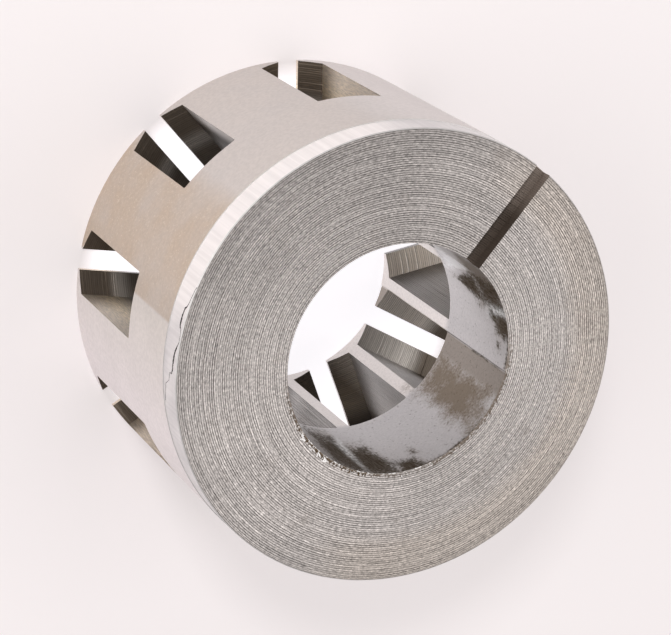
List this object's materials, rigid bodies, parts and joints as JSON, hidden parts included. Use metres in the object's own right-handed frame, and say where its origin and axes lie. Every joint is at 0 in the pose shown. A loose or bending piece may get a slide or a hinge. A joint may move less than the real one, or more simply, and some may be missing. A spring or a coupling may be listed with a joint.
{
  "type": "wound stator core",
  "caption": "Thick ring wound from one steel strip, with half-closed winding slots across one end, a plain yoke face with a key groove, and a turned band on the outside.",
  "frame": {"origin": "on the core's axis, in the plane of the toothed end that it stands on", "axes": "+Z along the bore axis from the toothed end to the yoke face, +X through the key groove and the middle of the first slot"},
  "size_m": [0.13, 0.13, 0.084],
  "materials": {
    "core_steel": "ground lamination edges, coated rolled strip on the outside"
  },
  "bodies": {
    "root": {"wound_core": "core_steel"}
  },
  "joints": []
}
